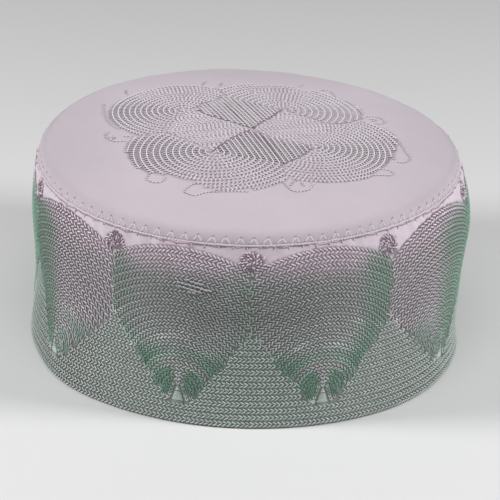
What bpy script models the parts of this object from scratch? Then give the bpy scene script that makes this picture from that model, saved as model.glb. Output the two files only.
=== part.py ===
"""A round flat-topped cloth cap: a domed crown tip over an upright side band.

Metres, +Z up. The cap stands on its rim at z = 0, its plan is centred on the origin,
and its front faces -Y. Azimuths are measured from the front towards +X.
"""

from collections import namedtuple
from math import pi

import bmesh
import bpy
import numpy as np

MM = 0.001

# Driving sizes
SEAM_RADIUS = 92.5 * MM
SEAM_HEIGHT = 83.4 * MM
BAND_THICKNESS = 2.0 * MM
CROWN_THICKNESS = 1.6 * MM
SHOULDER_RISE = 5.6 * MM
ALLOWANCE_THICKNESS = 1.2 * MM
ALLOWANCE_DEPTH = 5.0 * MM
PIECE_GAP = 0.3 * MM
HEM_ROUNDING = 0.4 * MM

# How finely the cloth is divided
SECTORS = 96
BAND_LEVELS = 13
BAND_INNER_LEVELS = 9
CROWN_RINGS = 17
CROWN_INNER_RINGS = 9

# Shares: where the crown's underside starts along its section, the step that its slope is
# read over, and how much of the band's levels crowd towards the rim and the seam
UNDERSIDE_START = 0.27
SLOPE_STEP = 0.01
END_CROWDING = 0.4
SHARP_ANGLE = 45.0

# The band's upright section: radius and sideways shift at each height, in millimetres
BandRow = namedtuple("BandRow", "height radius shift")
BAND_SECTION = [
    BandRow(0.0, 96.2, -0.2),
    BandRow(10.0, 95.2, -0.4),
    BandRow(30.0, 94.5, 1.2),
    BandRow(45.0, 94.9, 1.3),
    BandRow(60.0, 96.3, 1.8),
    BandRow(75.0, 94.4, 0.8),
    BandRow(83.4, 92.5, 0.0),
]

# The crown tip's section: radius, and height above the seam, in millimetres
CrownRow = namedtuple("CrownRow", "radius rise")
CROWN_SECTION = [
    CrownRow(92.5, 0.0),
    CrownRow(92.2, 1.8),
    CrownRow(91.4, 3.7),
    CrownRow(89.9, 5.4),
    CrownRow(87.0, 6.5),
    CrownRow(80.0, 7.7),
    CrownRow(68.0, 9.3),
    CrownRow(52.0, 11.0),
    CrownRow(34.0, 12.1),
    CrownRow(16.0, 12.6),
    CrownRow(0.0, 12.7),
]

# How the plan leaves a circle, at the rim and at the seam, in millimetres
PlanWave = namedtuple("PlanWave", "order rim_cos rim_sin seam_cos seam_sin")
PLAN_WAVES = [
    PlanWave(2, 0.5, 0.5, -0.3, -0.5),
    PlanWave(3, -1.3, -0.1, 0.0, 0.0),
]

# How the seam and the crown's shoulder rise and dip around the cap, in millimetres
HeightWave = namedtuple("HeightWave", "order seam_cos seam_sin shoulder_cos shoulder_sin")
HEIGHT_WAVES = [
    HeightWave(1, 0.1, -0.3, -0.1, -0.4),
    HeightWave(2, 0.1, 0.6, 0.0, 0.2),
]

# Soft dents: azimuth in degrees, place in millimetres (height on the band, radius on the
# crown), half widths across and along, and depth
Dent = namedtuple("Dent", "azimuth place across along depth")
BAND_DENTS = [
    Dent(-94.0, 4.0, 14.0, 7.0, -0.6),
    Dent(-70.0, 3.0, 12.0, 9.0, 0.8),
    Dent(-52.0, 2.0, 14.0, 10.0, -1.2),
    Dent(44.0, 2.0, 16.0, 10.0, -0.7),
    Dent(150.0, 44.0, 24.0, 15.0, 0.7),
    Dent(-140.0, 50.0, 22.0, 14.0, 0.6),
]
CROWN_DENTS = [
    Dent(-52.0, 80.0, 13.0, 7.0, 0.6),
    Dent(-34.0, 76.0, 9.0, 8.0, 0.4),
    Dent(48.0, 74.0, 14.0, 9.0, 0.5),
    Dent(-150.0, 66.0, 20.0, 12.0, -0.8),
    Dent(140.0, 62.0, 22.0, 14.0, 0.5),
]

CROWN_COLOUR = (0.62, 0.55, 0.60, 1.0)
BAND_COLOUR = (0.36, 0.40, 0.38, 1.0)
CLOTH_ROUGHNESS = 0.85

AZIMUTHS = np.linspace(0.0, 2.0 * pi, SECTORS, endpoint=False)


def clear_scene():
    for item in list(bpy.data.objects):
        bpy.data.objects.remove(item, do_unlink=True)


def smooth_table(places, knots, values):
    """Read a smooth curve through a table: a cubic between rows, with slopes from their neighbours."""
    knots = np.asarray(knots, dtype=float)
    values = np.asarray(values, dtype=float)
    slopes = np.gradient(values, knots)
    row = np.clip(np.searchsorted(knots, places, side="right") - 1, 0, len(knots) - 2)
    span = knots[row + 1] - knots[row]
    t = (places - knots[row]) / span
    start = (2 * t**3 - 3 * t**2 + 1) * values[row] + (t**3 - 2 * t**2 + t) * span * slopes[row]
    end = (3 * t**2 - 2 * t**3) * values[row + 1] + (t**3 - t**2) * span * slopes[row + 1]
    return start + end


def dent_depth(dents, places):
    """Depth of the soft dents at each azimuth, for one place along the section."""
    depth = np.zeros(SECTORS)
    for dent in dents:
        turn = np.radians(dent.azimuth)
        around = np.angle(np.exp(1j * (AZIMUTHS - turn))) / np.radians(dent.across)
        along = (places - dent.place * MM) / (dent.along * MM)
        depth += dent.depth * MM * np.exp(-(around**2) - along**2)
    return depth


def plan_wave(share):
    """How far the plan leaves a circle at a share of the way from the rim to the seam."""
    wave = np.zeros(SECTORS)
    for row in PLAN_WAVES:
        cosine = row.rim_cos + share * (row.seam_cos - row.rim_cos)
        sine = row.rim_sin + share * (row.seam_sin - row.rim_sin)
        wave += MM * (cosine * np.cos(row.order * AZIMUTHS) + sine * np.sin(row.order * AZIMUTHS))
    return wave


def seam_height():
    """Height of the seam at each azimuth."""
    height = np.full(SECTORS, SEAM_HEIGHT)
    for row in HEIGHT_WAVES:
        height += MM * row.seam_cos * np.cos(row.order * AZIMUTHS)
        height += MM * row.seam_sin * np.sin(row.order * AZIMUTHS)
    return height


def shoulder_wave():
    """How much the crown's shoulder rises or dips at each azimuth."""
    wave = np.zeros(SECTORS)
    for row in HEIGHT_WAVES:
        wave += MM * row.shoulder_cos * np.cos(row.order * AZIMUTHS)
        wave += MM * row.shoulder_sin * np.sin(row.order * AZIMUTHS)
    return wave


def place_ring(radius, shift, height):
    """One ring of points: the radius at each azimuth, moved sideways, at a height."""
    ring = np.empty((SECTORS, 3))
    ring[:, 0] = shift + radius * np.sin(AZIMUTHS)
    ring[:, 1] = -radius * np.cos(AZIMUTHS)
    ring[:, 2] = height
    return ring


def band_ring(level, inset, foot=0.0):
    """The band's ring at a level from 0 at the rim to SEAM_HEIGHT at the seam.

    The inset moves it inwards from the outer face, and the foot lifts it off the floor.
    """
    share = level / SEAM_HEIGHT
    heights = [row.height * MM for row in BAND_SECTION]
    radius = smooth_table(level, heights, [row.radius * MM for row in BAND_SECTION])
    shift = smooth_table(level, heights, [row.shift * MM for row in BAND_SECTION])
    outer = radius + plan_wave(share) - dent_depth(BAND_DENTS, level)
    return place_ring(outer - inset, shift, foot + share * seam_height())


def crown_ring(step, depth):
    """The crown's ring at a step along its section, 0 at the seam and 1 at the centre.

    The depth moves it in from the outer face, along the section's own normal.
    """
    steps = np.linspace(0.0, 1.0, len(CROWN_SECTION))
    radii = [row.radius * MM for row in CROWN_SECTION]
    rises = [row.rise * MM for row in CROWN_SECTION]
    near = np.clip([step - SLOPE_STEP, step + SLOPE_STEP], 0.0, 1.0)
    along_radius = np.diff(smooth_table(near, steps, radii))[0]
    along_rise = np.diff(smooth_table(near, steps, rises))[0]
    length = np.hypot(along_radius, along_rise)
    radius = smooth_table(np.array([step]), steps, radii)[0] - depth * along_rise / length
    rise = smooth_table(np.array([step]), steps, rises)[0] + depth * along_radius / length
    reach = radius / SEAM_RADIUS
    risen = min(1.0, max(0.0, rise) / SHOULDER_RISE)
    height = SEAM_HEIGHT + reach * (seam_height() - SEAM_HEIGHT) + rise
    height += reach * risen * shoulder_wave()
    height -= dent_depth(CROWN_DENTS, radius)
    return place_ring(radius + reach * plan_wave(1.0), 0.0, height)


def plan_centre():
    """The middle of the plan's box, which is set on the origin."""
    rings = np.concatenate([band_ring(level, 0.0) for level in band_levels(BAND_LEVELS)])
    return 0.5 * (rings.min(axis=0) + rings.max(axis=0)) * np.array([1.0, 1.0, 0.0])


def band_levels(count):
    """Levels from the rim to the seam, closer together near both ends."""
    turn = np.linspace(0.0, pi, count)
    even = turn / pi
    crowded = 0.5 * (1.0 - np.cos(turn))
    return SEAM_HEIGHT * (even + END_CROWDING * (crowded - even))


def cloth_material(name, colour):
    material = bpy.data.materials.new(name)
    material.use_nodes = True
    shader = material.node_tree.nodes["Principled BSDF"]
    shader.inputs["Base Color"].default_value = colour
    shader.inputs["Roughness"].default_value = CLOTH_ROUGHNESS
    shader.inputs["Metallic"].default_value = 0.0
    material.diffuse_color = colour
    return material


def skin_between(mesh, lower, upper):
    """Fill the strip between two rings of corners with four-sided faces."""
    for index in range(SECTORS):
        following = (index + 1) % SECTORS
        mesh.faces.new((lower[index], lower[following], upper[following], upper[index]))


def add_piece(name, mesh, material):
    bmesh.ops.recalc_face_normals(mesh, faces=mesh.faces)
    data = bpy.data.meshes.new(name)
    mesh.to_mesh(data)
    mesh.free()
    data.materials.append(material)
    data.shade_smooth()
    data.set_sharp_from_angle(angle=np.radians(SHARP_ANGLE))
    piece = bpy.data.objects.new(name, data)
    bpy.context.scene.collection.objects.link(piece)
    return piece


def build_side_band(centre):
    """The upright wall: outer face, top edge, inner face and the flat foot of the hem."""
    rings = [band_ring(0.0, HEM_ROUNDING)]
    outer_levels = band_levels(BAND_LEVELS)
    rings.append(band_ring(0.0, 0.0, foot=HEM_ROUNDING))
    rings.extend(band_ring(level, 0.0) for level in outer_levels[1:])
    inner_levels = band_levels(BAND_INNER_LEVELS)[::-1]
    rings.extend(band_ring(level, BAND_THICKNESS) for level in inner_levels[:-1])
    rings.append(band_ring(0.0, BAND_THICKNESS, foot=HEM_ROUNDING))
    rings.append(band_ring(0.0, BAND_THICKNESS - HEM_ROUNDING))

    mesh = bmesh.new()
    corners = [[mesh.verts.new(point) for point in ring - centre] for ring in rings]
    for lower, upper in zip(corners, corners[1:] + corners[:1]):
        skin_between(mesh, lower, upper)
    return add_piece("side_band", mesh, cloth_material("band_cloth", BAND_COLOUR))


def build_crown_tip(centre):
    """The domed top: outer skin to the seam, the turned-down allowance, and the underside."""
    lift = np.array([0.0, 0.0, PIECE_GAP])
    behind = BAND_THICKNESS + PIECE_GAP
    allowance_level = SEAM_HEIGHT - ALLOWANCE_DEPTH
    steps = np.linspace(1.0, 0.0, CROWN_RINGS)
    inner_steps = np.linspace(UNDERSIDE_START, 1.0, CROWN_INNER_RINGS)

    rings = [crown_ring(step, 0.0) + lift for step in steps[1:-1]]
    rings.append(band_ring(SEAM_HEIGHT, 0.0) + lift)
    rings.append(band_ring(SEAM_HEIGHT, behind) + lift)
    rings.append(band_ring(allowance_level, behind))
    rings.append(band_ring(allowance_level, behind + ALLOWANCE_THICKNESS))
    rings.append(band_ring(SEAM_HEIGHT, behind + ALLOWANCE_THICKNESS))
    rings.extend(crown_ring(step, CROWN_THICKNESS) + lift for step in inner_steps[:-1])

    mesh = bmesh.new()
    corners = [[mesh.verts.new(point) for point in ring - centre] for ring in rings]
    for lower, upper in zip(corners, corners[1:]):
        skin_between(mesh, lower, upper)
    for ring, depth in ((corners[0], 0.0), (corners[-1], CROWN_THICKNESS)):
        pole = mesh.verts.new(crown_ring(1.0, depth).mean(axis=0) + lift - centre)
        for index in range(SECTORS):
            mesh.faces.new((ring[index], ring[(index + 1) % SECTORS], pole))
    return add_piece("crown_tip", mesh, cloth_material("crown_cloth", CROWN_COLOUR))


def main():
    clear_scene()
    centre = plan_centre()
    build_side_band(centre)
    build_crown_tip(centre)


main()
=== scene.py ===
"""The looks of a round embroidered cap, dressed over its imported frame.

Metres, +Z up, the cap standing on z = 0 with its front towards -Y. Azimuths run from the
front towards +X. Two cloth shells take the place of the frame's two nodes, and the
embroidery is laid on them stitch by stitch: a stitch is two grains of thread that meet in
a point. The charts that the rows are drawn on are flat: on the band, millimetres round the
cap and up from the rim; on the crown, millimetres to the right and to the back.
"""

from collections import namedtuple
from math import pi, radians

import bpy
import numpy as np
from bpy.props import FloatProperty, FloatVectorProperty, PointerProperty
from bpy.types import Operator, Panel, PropertyGroup
from mathutils import Matrix, Vector
from mathutils.bvhtree import BVHTree


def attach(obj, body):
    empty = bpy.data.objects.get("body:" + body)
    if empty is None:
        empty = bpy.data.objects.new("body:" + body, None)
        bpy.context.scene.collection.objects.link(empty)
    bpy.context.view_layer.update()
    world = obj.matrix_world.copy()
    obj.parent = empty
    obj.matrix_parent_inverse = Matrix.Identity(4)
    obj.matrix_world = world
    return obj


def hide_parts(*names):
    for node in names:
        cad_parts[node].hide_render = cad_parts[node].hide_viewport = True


bl_info = {
    "name": "Embroidered cap dresser",
    "version": (1, 0, 0),
    "blender": (4, 5, 0),
    "location": "3D View > Sidebar > Cap",
    "description": "Dresses the frame of a round cap in cloth and chain stitch",
    "category": "Mesh",
}

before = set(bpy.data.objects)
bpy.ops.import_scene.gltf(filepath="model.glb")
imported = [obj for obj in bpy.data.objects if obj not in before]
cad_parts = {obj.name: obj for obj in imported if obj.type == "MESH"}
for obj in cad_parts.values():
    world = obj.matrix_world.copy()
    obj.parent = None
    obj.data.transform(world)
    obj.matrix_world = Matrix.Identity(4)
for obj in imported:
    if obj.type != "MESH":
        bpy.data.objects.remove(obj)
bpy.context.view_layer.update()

MM = 0.001
BAND = "side_band"
CROWN = "crown_tip"

# How finely the frame is read, and how finely its smoothed form is kept
READ_AROUND = 192
KEPT_AROUND = 768
HARMONICS = 24
BAND_LEVELS = 30
SHOULDER_LEVELS = 26
CROWN_LEVELS = 200
TOP_REACH = 84.0 * MM

# Rays start this far from the axis or the floor, and the wall is read from and over these
# shares of its height
RAY_START = 0.2
WALL_START = 0.01
WALL_SPAN = 0.98

# The band's chart: millimetres round the cap at this radius, the whole way round, and the
# height of its seam
CHART_RADIUS = 95.0
AROUND = 2.0 * pi * CHART_RADIUS
CHART_SCALE = np.array([pi / 180.0 * CHART_RADIUS, 1.0])
SEAM = 83.4

# The nine fan-shaped lobes: azimuths of the left edge, of the point below and of the right
# edge, how far a painted green shade comes in from either edge, and how much a painted
# highlight lightens the rest
Lobe = namedtuple("Lobe", "left point right green_left green_right pale")
LOBES = [
    Lobe(-72.6, -58.0, -35.6, 1.0, 0.0, 0.7),
    Lobe(-35.6, -16.9, 0.9, 0.3, 0.22, 0.0),
    Lobe(0.9, 20.0, 38.1, 0.1, 0.5, 0.1),
    Lobe(38.1, 61.5, 80.2, 0.0, 1.0, 0.7),
    Lobe(80.2, 101.0, 121.6, 0.4, 0.4, 0.3),
    Lobe(121.6, 142.4, 163.1, 0.4, 0.4, 0.3),
    Lobe(163.1, 183.8, 204.5, 0.4, 0.4, 0.3),
    Lobe(204.5, 225.3, 246.0, 0.4, 0.4, 0.3),
    Lobe(246.0, 266.7, 287.4, 0.4, 0.4, 0.3),
]

# A lobe's outline: heights of its foot, of the level where it reaches its whole width and of
# its top arch, and the share of its width that it has at its foot
LOBE_FOOT = 13.0
LOBE_WIDEST = 44.5
LOBE_TOP = 81.3
LOBE_FOOT_SHARE = 0.24

# The knots between the lobes: height of their middle, and how far they are from round
KNOT_HEIGHT = 76.6
KNOT_WIDTH = 1.05
KNOT_RISE = 0.95

# A knot's rings of stitches, from its middle outwards: radius, lift over the cloth and how
# far, in degrees, the ring goes on below the level of its middle, and the share of dark ones
Ring = namedtuple("Ring", "radius lift below")
WHORL = [Ring(0.8, 1.0, 70.0), Ring(2.2, 0.9, 70.0), Ring(3.6, 0.6, 70.0), Ring(4.7, 0.3, 25.0)]
KNOT_DARK_SHARE = 0.33

# A lobe's rows are arches, parts of ovals: half their width and half their height, for the
# arch whose top is at each height
Arch = namedtuple("Arch", "top across down")
ARCHES = [
    Arch(17.0, 3.0, 2.5),
    Arch(22.0, 6.5, 5.5),
    Arch(27.0, 10.5, 8.0),
    Arch(31.0, 14.0, 10.0),
    Arch(36.0, 18.0, 15.0),
    Arch(41.0, 21.5, 20.0),
    Arch(45.0, 25.5, 25.0),
    Arch(52.0, 32.0, 32.0),
    Arch(61.0, 42.0, 42.0),
    Arch(83.0, 61.0, 61.0),
]

# The turns from its top at which an oval is worked out, and how far it is stitched either way
ARCH_TURNS = np.radians(np.linspace(-150.0, 150.0, 1201))
ARCH_REACH = radians(102.0)

# How far rows run past the edge of a lobe and of the ground, in millimetres, and the
# distances between a level row's points and between the two places that give a line's way
LOBE_OVERLAP = 1.1
GROUND_OVERLAP = 1.6
LEVEL_STEP = 0.25
WAY_STEP = 0.3

# Seeds for the small accidents of the pieces; those of numbered pieces count on from these
SEEDS = {
    "lobe": 100,
    "border": 300,
    "ground": 400,
    "knots": 500,
    "satin": 550,
    "motifs": 600,
    "petal": 700,
    "curls": 800,
    "seam": 900,
}

# Lines along which the lobes' rows are brighter: azimuth and height of their knots
STRANDS = [
    [(-30.6, 31), (-28.6, 34), (-25.6, 37.5), (-18.4, 40), (-12.4, 38), (-8.3, 33)],
    [(-35.7, 44), (-30.6, 47.5)],
    [(-25.0, 22), (-24.0, 26), (-22.0, 29), (-18.4, 30)],
    [(13.1, 24), (14.6, 27.5), (16.6, 29), (23.6, 29), (27.0, 26), (28.5, 23)],
    [(9.1, 34), (11.6, 37), (14.6, 39)],
    [(19.6, 38.5), (25.6, 36), (29.5, 33)],
    [(25.6, 47), (29.5, 46.5), (33.4, 43.5), (35.4, 41.5)],
]

# One small patch of straight satin strands on the lobe at the front left
SATIN = [
    [(-15.2, 68.2), (-13.0, 67.1), (-10.8, 66.6)],
    [(-17.3, 66.3), (-15.0, 66.0), (-12.4, 65.2), (-10.4, 64.4), (-8.6, 64.2)],
    [(-17.0, 64.8), (-14.0, 63.9), (-10.9, 63.0)],
    [(-14.6, 62.8), (-12.4, 62.3)],
]

# The rosette's petals. A petal's rows come straight out from the centre's dark lines, bend,
# and ring the petal's point: the point, the distance between rows, and in degrees from +X
# towards the back the way in along the straight rows, the bend and the rings' other end,
# and how deep the painted shade is on the cloth between the rings
Petal = namedtuple("Petal", "x y pitch inwards bend end depth")
PETALS = [
    Petal(-15.5, -25.6, 2.8, 108.4, 340.0, 132.0, 0.65),
    Petal(27.0, -17.1, 2.45, 198.4, 430.0, 222.0, 0.65),
    Petal(13.0, 23.9, 2.9, 293.0, 513.0, 302.0, 0.45),
    Petal(-31.0, 18.9, 2.5, 378.4, 610.0, 390.0, 0.6),
]

# The four dark lines from the rosette's centre, the lines where each petal's rings end, and
# the petals' outer edges, each from the last one's end to the next one's, all counterclockwise
ARMS = [
    [(-1, -2), (-5, -6), (-10, -13), (-14, -19.6), (-17, -26)],
    [(0, -3), (9, -9.6), (19, -13.6), (26.5, -17.1)],
    [(0.4, -0.6), (1.5, 3), (4, 7.4), (7.5, 13), (11, 20), (13, 25)],
    [(-2, 1), (-8, 5), (-14, 9), (-21, 14), (-26, 20)],
]
ENDS = [
    [(-22, -20.6), (-30, -13), (-38.5, -6), (-43, -8), (-51, -10)],
    [(26, -20.6), (20, -30), (14.5, -36), (13.5, -43), (16, -48)],
    [(19, 19.4), (26, 16), (32, 11), (37, 11), (41, 12.4), (46, 18), (49, 20)],
    [(-23, 27), (-16, 33), (-15, 37), (-13, 40), (-18, 49)],
]
EDGES = [
    [(-54.5, -15), (-54.7, -22), (-53, -31), (-49.5, -39), (-44.5, -45), (-36, -47), (-29, -52), (-23, -55),
     (-18, -61), (-11, -62), (-1, -61), (5, -59), (10, -56), (15, -52)],
    [(19, -51), (25, -52), (31, -52), (39, -50), (45, -47), (50, -43), (56, -31), (59, -24), (61.5, -16),
     (63.5, -6), (63.8, 1), (62.5, 6), (59, 12), (55, 15)],
    [(49.3, 29), (48, 37), (45, 42), (40, 46.4), (35, 51), (27, 55), (17, 58), (7, 59), (-1, 58.4),
     (-8, 57.4), (-14, 53)],
    [(-23, 51), (-31, 53), (-39, 52.4), (-46, 49.4), (-52, 44), (-58, 37), (-62.5, 30), (-64.5, 21),
     (-64, 12), (-61, 5), (-57, -1), (-54, -5)],
]

# The dark bands through the rosette's centre, along the front and the back petal's rows
BANDS = [
    [(0, -1), (6, -18), (11, -33)],
    [(0, 1), (-6.5, 16), (-12, 29)],
]

# Distance between the dashes of the cords on the petals' rows and along the dark bands
CORD_PITCH = 1.75

# Single strands of fine thread around the petals, in the crown's chart
CURLS = [
    [(-43, -45), (-44, -50), (-41, -52.6), (-38, -52.6), (-36.3, -50), (-36.5, -47.9)],
    [(-23, -54.6), (-25.5, -56.6), (-27.8, -60.6), (-26, -63), (-23, -64.6), (-19, -62.6), (-13, -62),
     (-1, -62)],
    [(13, -51), (14.5, -55), (17, -59), (20, -60), (24, -58), (26, -53.6), (26.3, -51.6)],
    [(18, -48), (19.4, -51.4)],
    [(18, -51), (16.6, -55.4)],
    [(21, -52), (22.5, -55)],
    [(61, 9), (64.5, -1), (67, -10), (68.5, -15), (68, -19), (66, -21.6), (63, -22)],
    [(61.3, -13), (61.5, -20)],
    [(54, -32), (59, -32), (60.5, -34), (59, -37), (53, -39), (47, -43)],
    [(34.6, 58), (37, 53), (38, 49), (42, 46), (45, 42), (47.5, 36), (49.2, 29)],
    [(30, 51), (30.4, 57.6), (33.6, 59)],
    [(49, 22), (51, 26), (54, 27), (57, 25.4), (59, 21), (57, 17.4), (54.6, 17)],
    [(52, 22), (54, 23), (55, 21.4), (53, 20)],
    [(21, 60), (22, 66)],
    [(17, 57), (17.5, 60)],
    [(-67, 31), (-66.5, 21), (-65, 12), (-62, 4), (-58, -1)],
    [(-58, 48), (-58, 44), (-57, 42.4)],
    [(-63, -3), (-64, -7), (-62.5, -11), (-59, -13.6), (-55, -13.6)],
    [(-61, -8), (-59.8, -10), (-61.4, -11), (-61.6, -8.4)],
    [(-56, -9), (-52, -9.6)],
    [(-22, 58), (-23.5, 53), (-22, 50)],
    [(-15, 58), (-15.4, 53)],
]

# One grain of thread: places of its two rings along it, and its corners' turns
RING_PLACES = np.array([0.13, 0.87])
CORNER_TURNS = np.radians([-126.0, -54.0, 18.0, 90.0, 162.0])


# the cap's form, read from the frame


def tree_of(name):
    """The node's faces as a tree that rays can be cast at."""
    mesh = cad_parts[name].data
    points = [corner.co for corner in mesh.vertices]
    faces = [tuple(face.vertices) for face in mesh.polygons]
    return BVHTree.FromPolygons(points, faces)


def cast(tree, starts, ways):
    """Where each ray first meets the faces, as an array in the rays' own shape."""
    flat = zip(starts.reshape(-1, 3), ways.reshape(-1, 3))
    hits = [tree.ray_cast(Vector(start), Vector(way))[0] for start, way in flat]
    if None in hits:
        raise RuntimeError("a ray missed the frame while its form was read")
    return np.array(hits).reshape(starts.shape)


def smooth_along(points, rounds):
    """Each inner station becomes a quarter of each neighbour and half of itself, repeatedly."""
    points = points.copy()
    for _ in range(rounds):
        points[:, 1:-1] = 0.25 * (points[:, :-2] + points[:, 2:]) + 0.5 * points[:, 1:-1]
    return points


def smooth_around(points):
    """Keep the low harmonics of each ring and read them at more azimuths."""
    waves = np.fft.rfft(points, axis=0)
    waves[HARMONICS + 1 :] = 0.0
    full = np.zeros((KEPT_AROUND // 2 + 1,) + points.shape[1:], dtype=complex)
    full[: len(waves)] = waves
    return np.fft.irfft(full, n=KEPT_AROUND, axis=0) * (KEPT_AROUND / READ_AROUND)


def even_stations(points, count):
    """Read each meridian again at stations that are evenly spaced along it."""
    steps = np.linalg.norm(np.diff(points, axis=1), axis=2)
    travel = np.concatenate([np.zeros((len(points), 1)), np.cumsum(steps, axis=1)], axis=1)
    share = np.linspace(0.0, 1.0, count)
    made = np.empty((len(points), count, 3))
    for index, line in enumerate(points):
        for axis in range(3):
            made[index, :, axis] = np.interp(share * travel[index, -1], travel[index], line[:, axis])
    return made, travel[:, -1]


def face_normals(points):
    """Outward normals of a grid: the step around the cap crossed with the step along it."""
    around = np.roll(points, -1, axis=0) - np.roll(points, 1, axis=0)
    along = np.gradient(points, axis=1)
    normals = np.cross(around, along)
    size = np.linalg.norm(normals, axis=2, keepdims=True)
    return normals / np.maximum(size, 1e-12)


def ripple(turns, lowest, highest, seed):
    """A sum of cosines round the cap with seeded phases, about 1 in height."""
    chance = np.random.default_rng(seed)
    orders = np.arange(lowest, highest + 1)
    phases = chance.uniform(0.0, 2.0 * pi, len(orders))
    sizes = chance.uniform(0.5, 1.0, len(orders))
    sizes /= np.sqrt(0.5 * np.sum(sizes**2))
    waves = np.cos(np.multiply.outer(orders, turns) + phases.reshape(-1, *[1] * turns.ndim))
    return np.tensordot(sizes, waves, 1)


def read_grid(grid, around, along):
    """Read a grid between its points, in straight lines; around wraps, along may run over."""
    around = np.mod(around, 2.0 * pi) / (2.0 * pi) * len(grid)
    left = np.floor(around).astype(int)
    across = (around - left).reshape(-1, *[1] * (grid.ndim - 2))
    left %= len(grid)
    right = (left + 1) % len(grid)
    low = np.clip(np.floor(along).astype(int), 0, grid.shape[1] - 2)
    up = (along - low).reshape(-1, *[1] * (grid.ndim - 2))
    near = grid[left, low] * (1 - across) + grid[right, low] * across
    far = grid[left, low + 1] * (1 - across) + grid[right, low + 1] * across
    return near * (1 - up) + far * up


def pairs(first, second):
    """Places as rows of two values, from the one of each kind."""
    return np.stack(np.broadcast_arrays(first, second), axis=1)


def unit(vectors):
    """The vectors at a length of one."""
    return vectors / np.maximum(np.linalg.norm(vectors, axis=-1, keepdims=True), 1e-12)


class CapForm:
    """The cap's outer face with its small relief: the wall, the shoulder and the top."""

    def __init__(self):
        band, crown = tree_of(BAND), tree_of(CROWN)
        turns = np.linspace(0.0, 2.0 * pi, READ_AROUND, endpoint=False)
        out = np.stack([np.sin(turns), -np.cos(turns), np.zeros(READ_AROUND)], axis=1)
        up = np.array([0.0, 0.0, 1.0])
        near_lip = cast(band, RAY_START * out + 0.98 * SEAM * MM * up, -out)
        inwards = near_lip * np.array([1.0, 1.0, 0.0]) - 1.5 * MM * out
        lip = cast(band, inwards + RAY_START * up, np.tile(-up, (READ_AROUND, 1)))[:, 2]

        shares = np.linspace(WALL_START, WALL_START + WALL_SPAN, BAND_LEVELS)
        starts = RAY_START * out[:, None] + (lip[:, None] * shares)[..., None] * up
        wall = cast(band, starts, np.broadcast_to(-out[:, None], starts.shape))
        wall = smooth_along(wall, 2)

        eye = 0.05 * up
        edge = wall[:, -1] + (wall[:, -1] - wall[:, -2]) * WALL_START / (shares[1] - shares[0])
        lowest = np.arctan2(edge[:, 2] + 0.0008 - eye[2], np.linalg.norm(edge[:, :2], axis=1))
        tilts = lowest[:, None] + np.linspace(0.0, radians(6.0), SHOULDER_LEVELS)
        ways = np.cos(tilts)[..., None] * out[:, None] + np.sin(tilts)[..., None] * up
        shoulder = cast(crown, eye + 0.25 * ways, -ways)
        last = np.linalg.norm(shoulder[:, -1, :2], axis=1).min()
        reaches = np.linspace(min(last - 0.002, TOP_REACH), 0.0, 44)
        starts = reaches[None, :, None] * out[:, None] + RAY_START * up
        top = cast(crown, starts, np.broadcast_to(-up, starts.shape))
        line = np.concatenate([edge[:, None], shoulder, top], axis=1)
        line, length = even_stations(line, CROWN_LEVELS + 1)
        line = smooth_along(line, 8)

        self.wall_points = smooth_around(wall)
        self.crown_points = smooth_around(line)
        self.crown_length = float(length.mean()) / MM
        self.turns = np.linspace(0.0, 2.0 * pi, KEPT_AROUND, endpoint=False)
        self.wall_points += self.wall_relief()[..., None] * face_normals(self.wall_points)
        self.crown_points += self.crown_relief()[..., None] * face_normals(self.crown_points)
        self.wall_normals = face_normals(self.wall_points)
        self.crown_normals = face_normals(self.crown_points)
        self.crown_normals[:, -3:] = up
        self.dome = self.heights_by_reach()

    def wall_relief(self):
        """How far the band's cloth stands proud: puckers below the seam, lobes and valleys."""
        heights = SEAM * (WALL_START + WALL_SPAN * np.arange(BAND_LEVELS) / (BAND_LEVELS - 1))
        below = SEAM - heights
        pucker = 0.26 * ripple(self.turns, 45, 110, 3)[:, None] * np.exp(-((below / 4.5) ** 2))
        groove = -0.25 * np.exp(-((below / 1.2) ** 2))
        turn, height = np.meshgrid(self.turns, heights, indexing="ij")
        inside, across = lobe_share(np.degrees(turn), height)
        swell = 0.55 * inside * (1.0 - across**2)
        return (pucker + groove + swell) * MM

    def crown_relief(self):
        """How far the crown's cloth stands proud: the seam's groove, puckers, slack rolls."""
        travel = np.linspace(0.0, self.crown_length, CROWN_LEVELS + 1)
        groove = -0.2 * np.exp(-((travel / 1.1) ** 2))
        pucker = 0.13 * ripple(self.turns, 45, 110, 3)[:, None] * np.exp(-((travel / 6.0) ** 2))
        slack = 0.22 * ripple(self.turns, 7, 24, 8)[:, None] * np.exp(-(((travel - 16.0) / 9.0) ** 2))
        broad = 0.25 * ripple(self.turns, 3, 7, 5)[:, None] * np.exp(-(((travel - 30.0) / 14.0) ** 2))
        return (groove + pucker + slack + broad) * MM

    def heights_by_reach(self):
        """Height of the crown at each azimuth, for reaches every half millimetre from the axis."""
        reach = np.linalg.norm(self.crown_points[..., :2], axis=2)[:, ::-1]
        height = self.crown_points[:, ::-1, 2]
        asked = np.arange(0.0, 88.0, 0.5) * MM
        rows = [np.interp(asked, np.maximum.accumulate(r), z) for r, z in zip(reach, height)]
        return np.array(rows)

    @staticmethod
    def read(points, normals, chart, along):
        """Points and normals of a grid at places round the cap and along the grid."""
        around = chart[:, 0] / CHART_RADIUS
        return read_grid(points, around, along), unit(read_grid(normals, around, along))

    def wall(self, chart):
        """Points and normals of the wall at places in the band's chart."""
        along = (chart[:, 1] / SEAM - WALL_START) / WALL_SPAN * (BAND_LEVELS - 1)
        return self.read(self.wall_points, self.wall_normals, chart, along)

    def shoulder(self, chart):
        """Points and normals above the seam: round the cap, and up along the crown's cloth."""
        along = chart[:, 1] / self.crown_length * CROWN_LEVELS
        return self.read(self.crown_points, self.crown_normals, chart, along)

    def height_at(self, x, y):
        """Height of the top over places in metres."""
        return read_grid(self.dome, np.arctan2(x, -y), np.hypot(x, y) / (0.5 * MM))

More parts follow.
